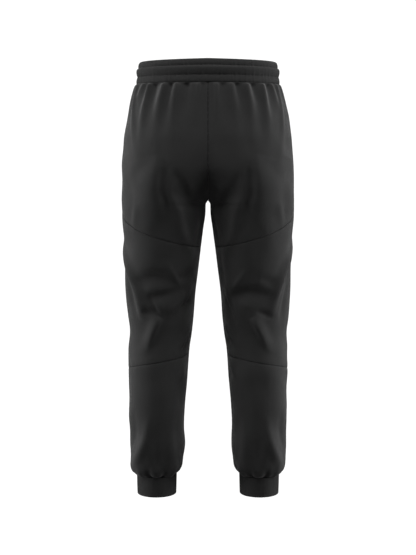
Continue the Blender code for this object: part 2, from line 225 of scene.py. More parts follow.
# Creases: each runs on a smooth curve through three places, a girth and a height each. It stands out by its
# rise, or sinks in where that is negative, and has a half width on its upper side and one on its lower side.
Crease = namedtuple("Crease", "start_g start_h middle_g middle_h end_g end_h rise above below")
CREASES = {}
CREASES["right"] = table(
    Crease,
    # under the seat
    (334, -214, 362, -256, 448, -304, -6.2, 9, 14),
    (395, -186, 430, -248, 550, -335, 7.7, 38, 14),
    (780, -200, 740, -270, 730, -370, -6.3, 34, 34),
    (305, -232, 380, -310, 285, -392, 6.5, 14, 12),
    (280, -222, 232, -265, 255, -325, -3.6, 11, 14),
    (110, -250, 145, -270, 187, -292, 2.5, 9, 10),
    (80, -300, 130, -340, 150, -400, -3.7, 14, 14),
    (405, -194, 530, -218, 650, -242, -2.4, 16, 20),
    (690, -290, 715, -320, 730, -355, 2.8, 9, 12),
    # behind the knee
    (960, -396, 748, -465, 658, -542, 10, 13, 11),
    (850, -476, 790, -520, 755, -568, -4.2, 10, 13),
    (670, -481, 600, -472, 530, -467, -3.2, 11, 13),
    (640, -513, 450, -498, 260, -514, -8.8, 13, 19),
    (470, -436, 458, -460, 450, -486, -2.2, 12, 12),
    (415, -450, 340, -476, 285, -497, 2.5, 6, 8),
    (330, -524, 440, -534, 550, -546, 1.8, 12, 12),
    (500, -543, 575, -551, 652, -557, -4, 8, 6),
    (456, -556, 518, -584, 600, -628, 11.8, 16, 9),
    (182, -496, 214, -516, 252, -540, 3, 6, 6),
    (195, -515, 225, -548, 270, -585, -3.2, 14, 16),
    (190, -395, 160, -440, 170, -482, -3.5, 14, 14),
    (107, -580, 175, -598, 250, -622, 3.2, 6, 8),
    (160, -668, 190, -682, 225, -700, 2.2, 6, 8),
    # calf and ankle
    (570, -796, 640, -862, 785, -912, 6.8, 12, 13),
    (760, -790, 790, -845, 900, -885, -3.7, 14, 14),
    (300, -800, 330, -860, 270, -915, 3.7, 13, 13),
    (450, -840, 480, -880, 470, -925, -3.7, 12, 12),
    (850, -700, 930, -740, 950, -790, -2.5, 16, 16),
    # front of the thigh and crotch
    (1960, -262, 1800, -262, 1560, -215, -5.4, 10, 13),
    (1940, -285, 1780, -300, 1520, -290, 6, 12, 15),
    (1920, -320, 1760, -345, 1600, -400, -4.5, 12, 16),
    (1100, -240, 1220, -270, 1330, -330, -3.3, 18, 20),
    # front of the knee
    (1060, -505, 1240, -530, 1420, -515, -6, 12, 10),
    (1880, -520, 1740, -548, 1560, -540, -5.7, 12, 10),
    (1050, -560, 1180, -600, 1360, -625, 6, 14, 12),
    (1900, -575, 1780, -610, 1640, -630, 5.4, 12, 14),
    (1120, -655, 1330, -668, 1520, -650, -4.8, 16, 14),
    (1860, -680, 1700, -700, 1580, -740, -3.6, 14, 16),
    # shin
    (1120, -790, 1240, -850, 1180, -912, 5.7, 14, 13),
    (1560, -820, 1500, -870, 1560, -915, 5.1, 14, 13),
    (1360, -830, 1370, -880, 1340, -925, -4.2, 13, 13),
)
CREASES["left"] = table(
    Crease,
    (357, -212, 381, -254, 466, -306, -6.6, 9, 14),
    (410, -188, 448, -250, 560, -335, 8.2, 38, 14),
    (790, -195, 745, -268, 735, -365, -6.3, 34, 34),
    (320, -228, 386, -308, 295, -390, 7, 13, 12),
    (294, -218, 236, -254, 256, -300, -4, 11, 14),
    (140, -242, 172, -264, 210, -286, 2.8, 9, 10),
    (85, -305, 125, -345, 160, -400, -3.7, 14, 14),
    (400, -194, 530, -216, 655, -244, -2.6, 16, 20),
    (700, -300, 722, -328, 732, -358, 3, 9, 12),
    (960, -398, 752, -474, 670, -552, 10.2, 13, 11),
    (840, -472, 795, -512, 730, -560, -4.2, 10, 13),
    (700, -480, 545, -463, 380, -477, -8, 14, 22),
    (610, -506, 500, -507, 290, -494, -6.8, 10, 15),
    (442, -433, 370, -466, 312, -482, 2.8, 7, 7),
    (597, -511, 550, -530, 490, -556, -3.7, 5, 7),
    (610, -528, 450, -535, 330, -541, 1.8, 12, 12),
    (662, -552, 600, -545, 515, -554, -3.8, 8, 6),
    (484, -556, 543, -583, 612, -628, 12, 16, 9),
    (140, -520, 260, -534, 365, -562, -3.5, 11, 12),
    (188, -488, 214, -508, 243, -531, 3.2, 6, 7),
    (175, -452, 245, -462, 320, -479, -3.2, 13, 10),
    (120, -588, 175, -602, 232, -621, 3, 6, 7),
    (200, -608, 232, -620, 262, -637, 2.8, 5, 6),
    (165, -678, 190, -692, 218, -707, 2.5, 6, 7),
    (585, -798, 655, -860, 805, -912, 6.8, 12, 13),
    (770, -785, 800, -840, 905, -880, -3.7, 14, 14),
    (310, -790, 330, -855, 260, -915, 4, 13, 13),
    (460, -845, 480, -885, 480, -925, -3.5, 12, 12),
    (860, -690, 930, -735, 940, -780, -2.8, 16, 16),
    (1960, -266, 1810, -268, 1580, -226, -5.1, 10, 13),
    (1940, -290, 1770, -308, 1500, -300, 6, 12, 15),
    (1930, -328, 1780, -350, 1620, -392, -4.2, 12, 16),
    (1110, -250, 1230, -285, 1310, -350, -3.6, 18, 20),
    (1070, -512, 1250, -524, 1450, -505, -5.7, 12, 10),
    (1870, -530, 1720, -552, 1540, -548, -6, 12, 10),
    (1060, -570, 1200, -605, 1380, -622, 5.7, 14, 12),
    (1890, -585, 1760, -615, 1620, -634, 5.4, 12, 14),
    (1130, -660, 1320, -672, 1500, -660, -4.5, 16, 14),
    (1850, -690, 1710, -715, 1600, -750, -3.6, 14, 16),
    (1130, -800, 1230, -855, 1170, -912, 5.7, 14, 13),
    (1550, -815, 1490, -865, 1560, -915, 5.4, 14, 13),
    (1350, -835, 1380, -880, 1330, -925, -4.2, 13, 13),
)

# Tucks over the cuff, where the wide leg is drawn into the rib: girth, length and how far each stands out.
Tuck = namedtuple("Tuck", "girth length rise")
TUCKS = {}
TUCKS["right"] = table(
    Tuck,
    (90, 22, -3.5),
    (230, 30, 2.9),
    (375, 22, -4.4),
    (480, 20, 0.8),
    (580, 22, -4.6),
    (740, 30, 3.2),
    (900, 22, -3.5),
    (1060, 26, 2.9),
    (1200, 30, -4.8),
    (1350, 24, 3.2),
    (1480, 26, -4.8),
    (1640, 22, 2.6),
    (1790, 30, -4.5),
    (1930, 20, 1.9),
)
TUCKS["left"] = table(
    Tuck,
    (110, 24, -3.2),
    (250, 26, 2.9),
    (385, 22, -4.4),
    (490, 18, 0.8),
    (590, 24, -4.8),
    (720, 26, 2.9),
    (880, 22, -3.8),
    (1040, 28, 2.9),
    (1170, 26, -4.5),
    (1330, 26, 3.2),
    (1500, 30, -5.1),
    (1660, 24, 2.9),
    (1810, 26, -4.2),
    (1940, 20, 1.9),
)
TUCK_WIDTH = 0.0055
TUCK_SPREAD = 0.6  # by how much a tuck widens over its length
GATHER_SPREAD = 0.9

SEAM_HOLD = 0.0034  # reach over which the waist seam holds the gathers down
GROOVE_WIDTH = 0.0011  # of the groove along a seam
GROOVE_EASE = 0.006  # half width of the wider dip round it, and its share of the depth
GROOVE_DIP = 0.25
WAIST_HOLD = 0.1  # share of the groove's depth at the waist seam
SEAM_SHADE = 0.0010  # half width of the painted shade that darkens a seam's groove
PUCKER_WAVES = ((0.0093, 1.0, 0.0), (0.0152, 0.8, 1.0))  # length, strength and phase
PUCKER_REACH = 0.008
CREST_SAMPLES = 33
BELL_REACH = 3  # half widths at which a crease is spent
CREST_ENDS = 0.06  # share of the sine wave that is left out at each end of a crease
CREST_POWER = 0.8
RIPPLE_WAVES = 14
RIPPLE_LENGTHS = (0.045, 0.140)
SIDE_SEEDS = {"right": 11, "left": 12}

# Small gathers round the waistband and the cuffs: whole count round it, strength and phase.
BAND_WAVES = ((61, 0.5, 0.3), (83, 0.6, 1.9), (107, 0.5, 4.1), (143, 0.35, 2.2), (19, 0.6, 0.8))
CUFF_WAVES = ((17, 0.1, 0.7), (23, 0.1, 2.9), (31, 0.1, 1.3), (5, 0.3, 4.0))
BAND_OPEN = 0.35  # share of its gathers that the waistband keeps away from its stitching
GROOVE_RIB = 0.5  # share of its ribs that the stitching flattens
BOW_POWER = 0.85

EDGE_STATIONS = (0, 0.0005, 0.0011, 0.0018, 0.0028, 0.0044)  # distances of mesh lines from a panel's edge
RIB_COLUMNS = 5  # mesh columns to one rib of the waistband
CUFF_COLUMNS = 6

# Mesh rows down a folded rib's outer face, up its inner face and round each fold.
FoldRows = namedtuple("FoldRows", "outer inner arc")
BAND_ROWS = FoldRows(42, 12, 5)
CUFF_ROWS = FoldRows(26, 8, 5)

ALLOWANCE_STEP = 0.0012  # along an overlocked seam allowance
ALLOWANCE_SIDES = 8
ALLOWANCE_THICK = 0.0016
CROTCH = -0.280  # where the front's centre seam ends
ALLOWANCE_CLEAR = 0.012  # from the corners of a panel
ALLOWANCE_SET = 0.06  # from the seam, as a share of its half width
OVERLOCK_PITCH = 0.0048
OVERLOCK_SWELL = 0.1

# A knit's wale and course, the depth of its relief, and how far its colour strays.
Knit = namedtuple("Knit", "pitch course relief mottle")
BODY_KNIT = Knit(0.0022, 0.0018, 0.00018, 0.07)
RIB_KNIT = Knit(0.00145, 0.0014, 0.00012, 0.06)
LOOP_HEIGHT = 0.25  # of the loops and of the fibres, where a furrow is 1 deep
FUZZ_HEIGHT = 0.8
FUZZ_SCALE = 900.0  # noise cells to a metre: fibres a millimetre long
CLOUD_SCALE = 22.0  # slow mottling, some 45 mm across
# Painted shade: the furrows between wales are darkened to this share of the colour.
FURROW_PAINTED_SHADE = 0.8
# Painted shade: a seam's groove is darkened to this share of the colour.
SEAM_PAINTED_SHADE = 0.25
TWIST_SCALE = 160.0
TWIST_DEPTH = 0.0001
# Painted light and shade: the twist is lighter on its ridges and darker in its grooves by this share.
TWIST_PAINTED_SHADE = 0.15
WHITE_GLOW = 1.1  # of the floor and the room, which look white

RING_STEP = 0.0005  # between the heights at which the rings are worked out
RING_EASE = 0.003  # reach of their smoothing
SMALL_STEP = 0.0005  # for the slopes that give the normals
TURN_EASE = 0.030  # reach over which the panels' upright lines bend at the crotch
TURN_POWER = 6
SEAM_FADE = 0.06  # girth over which creases die away at the inner seams
CLOSE_WALLS = 0.020  # creases die away where the leg's wall is nearer than this to the middle plane
CENTRE_HOLD = 0.015  # the centre seams keep the cloth this near to them from moving sideways
CROTCH_HOLD = 0.002  # how little the rings still overlap where that ends

# ---------------- sizes and colours


def number(name, description, default, **kind):
    return FloatProperty(name=name, description=description, default=default, **kind)


def metres(name, description, default):
    return number(name, description, default, unit="LENGTH", precision=5)


def swatch(name, description, hex_colour):
    kind = {"subtype": "COLOR", "min": 0, "max": 1}
    return FloatVectorProperty(name=name, description=description, default=linear(hex_colour), **kind)


class JoggerSizes(PropertyGroup):
    """Sizes of the cloth and of the sewing."""

    cloth: metres("Cloth", "Thickness of the double knit", 0.002)
    clearance: metres("Clearance", "From a seam allowance to the cloth it lies on", 0.0003)
    seam_sink: metres("Seam sink", "Depth of the groove along a seam", 0.0013)
    pucker: metres("Pucker", "Height of the puckers along a seam", 0.00010)
    cell: metres("Cell", "Size of the panels' mesh cells", 0.0031)
    ripple: metres("Ripple", "Height of the cloth's slow unevenness", 0.0006)
    allowance: metres("Seam allowance", "Width of the overlocked edges inside", 0.009)
    band_wall: metres("Waistband wall", "Rib and elastic at the rows of stitching", 0.0035)
    band_gather: metres("Elastic gathers", "Height of the rib's small gathers", 0.00040)
    rib_pitch: metres("Waistband rib", "From one rib of the waistband to the next", 0.0029)
    rib_depth: metres("Waistband furrow", "Depth of the furrows between its ribs", 0.0004)
    cuff_wall: metres("Cuff wall", "Thickness of the folded cuff", 0.003)
    cuff_pitch: metres("Cuff rib", "From one rib of the cuff to the next", 0.0026)
    cuff_rib: metres("Cuff furrow", "Depth of the furrows between its ribs", 0.0004)
    cuff_barrel: metres("Cuff barrel", "How far the cuff swells between seam and hem", 0.0006)
    stitch: metres("Stitch", "Length of a waistband stitch", 0.0032)
    stitch_space: metres("Stitch space", "From the end of a stitch to the next", 0.0008)
    stitch_sink: metres("Stitch sink", "How far the stitching draws the rib in", 0.0006)
    thread: metres("Thread", "Thickness of the sewing thread", 0.0006)


class JoggerColours(PropertyGroup):
    """Colours of the cloth, the thread and the floor."""

    knit: swatch("Knit", "Charcoal double knit", "#2b2b2b")
    rib: swatch("Rib", "Charcoal rib knit", "#2d2d2d")
    thread: swatch("Thread", "Sewing thread", "#262626")
    floor: swatch("Floor", "Studio floor", "#ffffff")


class JoggerStudio(PropertyGroup):
    """Camera, lights and floor."""

    distance: metres("Camera distance", "From the garment's middle plane", 3.0)
    height: metres("Camera height", "From the waist", -0.1304)
    aim_lift: metres("Aim", "How far above the garment's middle the camera aims", 0.0046)
    lens: number("Lens", "Focal length", 83.64, unit="CAMERA")
    side: metres("Side light distance", "Of the two side softboxes from the middle", 1.8)
    side_depth: metres("Side light depth", "Of each side softbox from front to back", 0.9)
    side_tall: metres("Side light length", "Of each side softbox from top to bottom", 2.2)
    side_power: number("Side light", "Power of each side softbox", 28, unit="POWER")
    top_lift: metres("Top light height", "Over the garment's middle", 3.3)
    top_near: metres("Top light nearness", "Of the overhead softbox towards the camera", 1.5)
    top_size: metres("Top light size", "Each side of the overhead softbox", 2.0)
    top_power: number("Top light", "Power of the overhead softbox", 95, unit="POWER")
    ceiling: number("Ceiling", "Strength of the room's light from above", 0.23)
    ground: number("Ground", "Strength of the room's light from below", 0.10)
    floor_drop: metres("Floor drop", "Of the floor below the cuffs", 0.35)
    floor_reach: metres("Floor reach", "Of the floor each way", 6.0)


# ---------------- the form of a leg


def soft_step(value):
    """0 below 0, 1 above 1, and 3 t^2 - 2 t^3 between them."""
    value = np.clip(value, 0, 1)
    return value * value * (3 - 2 * value)


def table_column(rows, name, heights):
    """A table's column at any height: cubic pieces whose slope at a row is the harmonic mean of the slopes on
    its two sides, so the curve is smooth and never overshoots a row."""
    x, y = np.array([(row.height, getattr(row, name)) for row in sorted(rows)]).T
    step, rise = np.diff(x), np.diff(y) / np.diff(x)
    product, both = rise[:-1] * rise[1:], rise[:-1] + rise[1:]
    inner_slopes = np.where(product > 0, 2 * product / np.where(product > 0, both, 1), 0)
    slope = np.concatenate([rise[:1], inner_slopes, rise[-1:]])
    place = np.clip(heights, x[0], x[-1])
    i = np.clip(np.searchsorted(x, place) - 1, 0, len(x) - 2)
    t = (place - x[i]) / step[i]
    bend = t * (1 - t) * step[i] * ((1 - t) * slope[i] - t * slope[i + 1])
    return y[i] + (y[i + 1] - y[i]) * soft_step(t) + bend


def eased(values, reach):
    """Values at even heights, smoothed by a mean under a cosine bell of that reach."""
    bell = np.hanning(2 * round(reach / RING_STEP) + 1)
    padded = np.pad(values, len(bell) // 2, mode="reflect", reflect_type="odd")
    return np.convolve(padded, bell / bell.sum(), mode="valid")


RING_HEIGHTS = np.arange(RINGS[-1].height, RINGS[0].height + RING_STEP, RING_STEP)
RING_COLUMNS = [eased(table_column(RINGS, name, RING_HEIGHTS), RING_EASE) for name in Ring._fields[1:]]


def ring_at(height):
    """Centre x, half width, centre y, half depth and power of a leg's ring."""
    outer, inner, back, front, power = (np.interp(height, RING_HEIGHTS, column) for column in RING_COLUMNS)
    return (outer + inner) / 2, (outer - inner) / 2, (front + back) / 2, (front - back) / 2, power


def half_turn(height):
    """The angle from the side seam to the inner edge, or to where the ring meets the middle plane."""
    centre, half_width, _, _, power = ring_at(height)
    parting = np.clip(centre / half_width, 1e-4, 1.0)
    return pi - np.arctan((parting**-power - 1) ** (1 / power))


EASED_TURN = eased(half_turn(RING_HEIGHTS), TURN_EASE)


def eased_turn(height):
    """The half turn without its kink at the crotch."""
    return np.interp(height, RING_HEIGHTS, EASED_TURN)


def base_point(girth, height):
    """A point of the smooth right leg. The ring is the superellipse |x/a|^n + |y/b|^n = 1. The angle round it
    runs evenly with the girth over the eased half turn, and a high power of the girth makes up what that
    misses at the inner edge."""
    girth, height = np.broadcast_arrays(np.asarray(girth, float), np.asarray(height, float))
    centre, half_width, middle, half_depth, power = ring_at(height)
    turn = eased_turn(height)
    miss = (half_turn(height) - turn) * np.abs(1 - girth) ** TURN_POWER
    angle = -(1 - girth) * turn - np.sign(1 - girth) * miss
    cosine, sine = np.cos(angle), np.sin(angle)
    radius = (np.abs(cosine) ** power + np.abs(sine) ** power) ** (-1 / power)
    x, y = centre + half_width * radius * cosine, middle + half_depth * radius * sine
    return np.stack([x, y, height], axis=-1)


def outward(points):
    """Unit normals of the smooth leg: the slope of the superellipse's own equation, by small differences."""

    def equation(p):
        centre, half_width, middle, half_depth, power = ring_at(p[..., 2])
        u, v = np.abs(p[..., 0] - centre) / half_width, np.abs(p[..., 1] - middle) / half_depth
        return (u**power + v**power) ** (1 / power)

    ways = SMALL_STEP * np.eye(3)
    normal = np.stack([equation(points + way) - equation(points - way) for way in ways], axis=-1)
    return normal / np.linalg.norm(normal, axis=-1, keepdims=True)


def girth_length(height):
    """Metres of cloth for one unit of girth: the angle that it spans times the ring's mean radius."""
    _, half_width, _, half_depth, _ = ring_at(height)
    return eased_turn(height) * (half_width + half_depth) / 2


def seam_height(seam, girth):
    """Height of a seam at each girth: a power curve from its inner height to its height at the side."""
    inner = np.where(girth <= 1, seam.inner_back, seam.inner_front)
    return inner + (seam.side - inner) * (1 - np.abs(1 - girth)) ** seam.power


# ---------------- relief of the cloth


def gather_relief(girth, height, gather):
    """A bell across the ridge, which widens and dies away down the leg as the exponential of a square. The
    waist seam holds its upper end down."""
    below = np.maximum(seam_height(WAIST_SEAM, girth) - height, 0)
    drop = below / gather.length
    crest = gather.girth + (gather.girth_low - gather.girth) * drop
    across = (girth - crest) * girth_length(height) / (gather.width * (1 + GATHER_SPREAD * drop))
    return gather.rise * np.exp(-(across**2) - drop**2) * (1 - np.exp(-((below / SEAM_HOLD) ** 2)))


def tuck_relief(girth, height, tuck):
    """A bell across the tuck, which dies away up the leg from the cuff's seam."""
    climb = (height - CUFF_SEAM.side) / tuck.length
    across = (girth - tuck.girth) * girth_length(height) / (TUCK_WIDTH * (1 + TUCK_SPREAD * climb))
    return tuck.rise * np.exp(-(across**2) - climb**2)


def crease_relief(points, crease):
    """Relief of one crease, whose crest is a parabola through three places: a bell of the distance to the
    nearest sample of the crest, less what lies along it, times most of half a sine wave along the crest."""
    share = np.linspace(0, 1, CREST_SAMPLES)[:, None]
    start, middle, end = np.reshape(crease[:6], (3, 2))
    pull = 2 * middle - (start + end) / 2
    places = (1 - share) ** 2 * start + 2 * share * (1 - share) * pull + share**2 * end
    crest = base_point(places[:, 0], places[:, 1])
    along = np.gradient(crest, axis=0)
    along /= np.linalg.norm(along, axis=1, keepdims=True)
    upper = np.cross(along, outward(crest))
    upper *= np.sign(upper[:, 2].sum())
    heart = crest.mean(axis=0)
    reach = np.linalg.norm(crest - heart, axis=1).max() + BELL_REACH * max(crease.above, crease.below)
    near = np.linalg.norm(points - heart, axis=-1) < reach
    relief = np.zeros(points.shape[:-1])
    apart = points[near][:, None] - crest
    nearest = (apart**2).sum(axis=-1).argmin(axis=1)
    apart = apart[np.arange(len(nearest)), nearest]
    step = np.linalg.norm(np.diff(crest, axis=0), axis=1).mean()
    past = (apart * along[nearest]).sum(axis=1)
    past = np.clip(past, np.where(nearest > 0, -step, 0), np.where(nearest < CREST_SAMPLES - 1, step, 0))
    across = apart - past[:, None] * along[nearest]
    distance = np.linalg.norm(across, axis=1)
    side = (across * upper[nearest]).sum(axis=1) / np.maximum(distance, 1e-6)
    width = crease.below + (crease.above - crease.below) * soft_step(0.5 + side / 2)
    place = np.clip((nearest + past / step) / (CREST_SAMPLES - 1), 0, 1)
    fade = np.sin(pi * (CREST_ENDS + (1 - 2 * CREST_ENDS) * place)) ** CREST_POWER
    relief[near] = crease.rise * fade * np.exp(-((distance / width) ** 2))
    return relief


def ripple(points, rise, seed):
    """Slow unevenness of the cloth: a sum of sine waves in fixed random directions."""
    random = np.random.default_rng(seed)
    total = np.zeros(points.shape[:-1])
    for _ in range(RIPPLE_WAVES):
        direction = random.normal(size=3)
        direction /= np.linalg.norm(direction)
        length = random.uniform(*RIPPLE_LENGTHS)
        total += np.sin(2 * pi * (points @ direction) / length + random.uniform(0, 2 * pi))
    return rise * total / np.sqrt(RIPPLE_WAVES / 2)


def seam_draw(girth, height, cut, sizes):
    """How far its seams draw a panel in, and the nearness to them, a bell of the distance, by which the
    colour is darkened as painted shade in the seams' grooves. Each seam gives an exponential of the distance
    and a wider bell, and along it puckers, two sine waves that soon die away. The waist seam hardly draws the
    cloth in."""
    scale = girth_length(height)
    edges = (
        (seam_height(cut.upper, girth) - height, girth * scale, WAIST_HOLD if cut.upper is WAIST_SEAM else 1),
        (height - seam_height(cut.lower, girth), girth * scale, 1),
        ((girth - cut.start) * scale, height, 1),
        ((cut.end - girth) * scale, height, 1),
    )
    sink, pucker, seam = np.zeros(height.shape), np.zeros(height.shape), np.zeros(height.shape)
    for distance, along, hold in edges:
        distance = np.maximum(distance, 0)
        groove = np.exp(-distance / GROOVE_WIDTH) + GROOVE_DIP * np.exp(-((distance / GROOVE_EASE) ** 2))
        sink = np.maximum(sink, hold * groove)
        waves = sum(high * np.sin(2 * pi * along / length + phase) for length, high, phase in PUCKER_WAVES)
        pucker += waves * np.exp(-((distance / PUCKER_REACH) ** 2))
        # nearness to the seam, which darkens the colour as painted shade
        seam = np.maximum(seam, hold * np.exp(-((distance / SEAM_SHADE) ** 2)))
    return sizes.seam_sink * sink + sizes.pucker * pucker, seam


def cloth_surface(girth, height, side, draw, sizes):
    """Points of the right-hand form of the cloth with one side's creases, and the way that these move it: the
    smooth leg's normal, less its sideways part by the centre seams. The creases die away by the inner seams
    and where the legs are close to each other."""
    base = base_point(girth, height)
    normal = outward(base)
    centre, half_width, _, _, _ = ring_at(height)
    held = soft_step((half_width - centre) / CROTCH_HOLD) * (1 - soft_step(base[..., 0] / CENTRE_HOLD))
    normal[..., 0] *= 1 - held
    relief = sum(gather_relief(girth, height, gather) for gather in GATHERS[side])
    relief = relief + sum(tuck_relief(girth, height, tuck) for tuck in TUCKS[side])
    relief = relief + sum(crease_relief(base, crease) for crease in CREASES[side])
    relief = relief + ripple(base, sizes.ripple, SIDE_SEEDS[side])
    room = soft_step(np.minimum(girth, 2 - girth) / SEAM_FADE) * soft_step(base[..., 0] / CLOSE_WALLS)
    return base + (room * relief - draw)[..., None] * normal, normal


# ---------------- meshes


def new_piece(name, points, faces, material, wales=None):
    """A smooth object from points, arrays of faces and, for knits, each corner's place on the grain."""
    mesh = bpy.data.meshes.new(name)
    mesh.from_pydata(points.reshape(-1, 3).tolist(), [], [face for part in faces for face in part.tolist()])
    if wales is not None:
        mesh.uv_layers.new(name="grain").data.foreach_set("uv", wales.astype(np.float32).ravel())
    mesh.shade_smooth()
    mesh.materials.append(material)
    piece = bpy.data.objects.new(name, mesh)
    bpy.context.scene.collection.objects.link(piece)
    return piece


def surface(name, grid, grain, material, rows_close=False, columns_close=False):
    """A mesh from a grid of points. The grain is each corner's place across and along the knit's wales, and
    has one row or column more than the grid where that way closes. Seen from outside, columns run right."""
    height, width = grid.shape[:2]
    r, c = np.indices((height if rows_close else height - 1, width if columns_close else width - 1))
    corners = ((r, c), (r + 1, c), (r + 1, c + 1), (r, c + 1))
    faces = np.stack([i % height * width + j % width for i, j in corners], axis=-1).reshape(-1, 4)
    wales = np.stack([grain[i, j] for i, j in corners], axis=2)
    return new_piece(name, grid, [faces], material, wales)


def wall(name, outer, inner, grain, seam, material):
    """A closed wall between two grids of points, with flat faces round its rim. Each point has its place on
    the grain and its nearness to a seam, where the cloth's colour is darkened as painted shade."""
    count = seam.size
    index = np.arange(count).reshape(seam.shape)
    front = (index[:-1, :-1], index[1:, :-1], index[1:, 1:], index[:-1, 1:])
    front = np.stack(front, axis=-1).reshape(-1, 4)
    edges = (index[0], index[-1, ::-1], index[::-1, 0], index[:, -1])
    rims = [np.stack([edge[:-1], edge[1:], edge[1:] + count, edge[:-1] + count], axis=-1) for edge in edges]
    faces = np.concatenate([front, front[:, ::-1] + count, *rims])
    piece = new_piece(name, np.stack([outer, inner]), [faces], material, grain.reshape(-1, 2)[faces % count])
    # Painted shade: the nearness to a seam darkens the cloth's colour in the seam's groove.
    near = piece.data.attributes.new("seam", "FLOAT", "POINT")
    near.data.foreach_set("value", np.tile(seam.ravel(), 2))
    piece.data.polygons.foreach_set("use_smooth", np.arange(len(faces)) < 2 * len(front))
    return piece


def mirrored(grid):
    """The left leg's grid from the right leg's, its columns turned round to keep its faces pointing out."""
    grid = grid[:, ::-1].copy()
    grid[..., 0] *= -1
    return grid


def edge_stations(length, cell):
    """Shares of the way from one edge to the other: close together by each edge and even between."""
    count = max(round((length - 2 * EDGE_STATIONS[-1]) / cell), 2)
    close = np.array(EDGE_STATIONS)
    middle = np.linspace(close[-1], length - close[-1], count + 1)
    return np.concatenate([close[:-1], middle, length - close[-2::-1]]) / length


def wear(piece):
    """Puts a finished piece on the part's one body."""
    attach(piece, "root")
    return piece


# ---------------- leg panels


def leg_panel(cut, side, sizes, material):
    """A panel of the leg: the cloth's surface between two girths and two seam lines, with a wall inwards."""
    middle = (cut.start + cut.end) / 2
    tall = float(seam_height(cut.upper, middle) - seam_height(cut.lower, middle))
    wide = float(girth_length(seam_height(cut.upper, middle)))
    girth = cut.start + (cut.end - cut.start) * edge_stations(wide, sizes.cell)
    top, bottom = seam_height(cut.upper, girth), seam_height(cut.lower, girth)
    height = top + (bottom - top) * edge_stations(tall, sizes.cell)[:, None]
    girth = np.broadcast_to(girth, height.shape)
    draw, seam = seam_draw(girth, height, cut, sizes)
    outer, way = cloth_surface(girth, height, side, draw, sizes)
    inner = outer - sizes.cloth * way
    for face in (outer, inner):
        face[..., 0] = np.maximum(face[..., 0], 0)
    grain = np.stack([(girth - middle) * girth_length(height), height], axis=-1)
    if side == "left":
        outer, inner, grain, seam = mirrored(outer), mirrored(inner), grain[:, ::-1], seam[:, ::-1]
    return wall(f"{cut.solid}_{side}_cloth", outer, inner, grain, seam, material)


def tube_faces(rings, sides):
    """Faces of a closed tube of rings: quads along it and one face at each end."""
    r, c = np.indices((rings - 1, sides))
    beside = (c + 1) % sides
    here, below = r * sides, (r + 1) * sides
    quads = np.stack([here + c, below + c, below + beside, here + beside], axis=-1)
    ends = np.stack([np.arange(sides), (rings - 1) * sides + np.arange(sides)[::-1]])
    return quads.reshape(-1, 4), ends


def panel_allowances(cut, side, sizes, material):
    """The overlocked seam allowances on a panel's inner face, one mesh: a flat oval carried just inside each
    seam, whose raw side swells and shrinks with the overlock's loops."""
    middle = (cut.start + cut.end) / 2
    top, bottom = seam_height(cut.upper, middle), seam_height(cut.lower, middle)
    across = cut.start + (cut.end - cut.start) * run_shares(girth_length(float(top)))
    down = run_shares(float(top - bottom))

    def upright(girth):
        high, low = seam_height(cut.upper, girth), seam_height(cut.lower, girth)
        return high + (low - high) * down

    runs = [(across, seam_height(cut.upper, across), 0, -1)]
    if cut.lower is CUFF_SEAM:
        runs.append((across, seam_height(cut.lower, across), 0, 1))
    runs.append((0 * down + cut.start, upright(cut.start), 1, 0))
    if cut.end == 2:
        centre_seam = upright(2)[upright(2) > CROTCH]
        runs.append((0 * centre_seam + 2, centre_seam, -1, 0))
    turn = np.arange(ALLOWANCE_SIDES) / ALLOWANCE_SIDES * 2 * pi
    depth = sizes.cloth + sizes.clearance + ALLOWANCE_THICK / 2 * (1 + np.sin(turn))
    points, faces, start = [], [], 0
    for girth, height, round_way, up_way in runs:
        loop = np.sin(2 * pi * np.arange(len(girth)) * ALLOWANCE_STEP / OVERLOCK_PITCH)[:, None]
        swell = np.where(np.cos(turn) < 0, 1 + OVERLOCK_SWELL * loop, 1)
        reach = sizes.allowance / 2 * (1 + ALLOWANCE_SET - np.cos(turn) * swell)
        g = girth[:, None] + round_way * reach / girth_length(height[:, None])
        h = height[:, None] + up_way * reach
        draw, _ = seam_draw(g, h, cut, sizes)
        strip, _ = cloth_surface(g, h, side, draw + depth, sizes)
        strip[..., 0] = np.maximum(strip[..., 0], sizes.clearance) * (1 if side == "right" else -1)
        faces += [start + part for part in tube_faces(len(girth), ALLOWANCE_SIDES)]
        points.append(strip.reshape(-1, 3))
        start += strip.size // 3
    return outside_out(new_piece(f"{cut.solid}_{side}_overlock", np.concatenate(points), faces, material))


def run_shares(length):
    """Shares of the way along a seam, clear of its corners, a short step apart."""
    clear = ALLOWANCE_CLEAR / length
    return np.linspace(clear, 1 - clear, round((length - 2 * ALLOWANCE_CLEAR) / ALLOWANCE_STEP))


def outside_out(piece):
    """Turns the faces of a closed mesh outwards."""
    shape = bmesh.new()
    shape.from_mesh(piece.data)
    bmesh.ops.recalc_face_normals(shape, faces=shape.faces)
    shape.to_mesh(piece.data)
    shape.free()
    return piece


# ---------------- folded rib


def closed_section(length, thick, rows):
    """A flat loop of cloth seen end on: down its outer face, round the bottom, up its inner face and round
    the top. It gives the distance down, the depth from the outer face, and the way out as (down, depth)."""
    fold = thick * FOLD_SHARE
    turn = np.linspace(0, pi, rows.arc + 2)[1:-1]
    outer = np.linspace(fold, length - fold, rows.outer)
    inner = np.linspace(length - fold, fold, rows.inner)
    out_down = np.concatenate([0 * outer, np.sin(turn), 0 * inner, -np.sin(turn)])
    out_depth = np.concatenate([0 * outer - 1, -np.cos(turn), 0 * inner + 1, np.cos(turn)])
    down = np.concatenate([outer, 0 * turn + length - fold, inner, 0 * turn + fold]) + fold * out_down
    return tuple(part[:, None] for part in (down, thick / 2 * (1 + out_depth), out_down, out_depth))


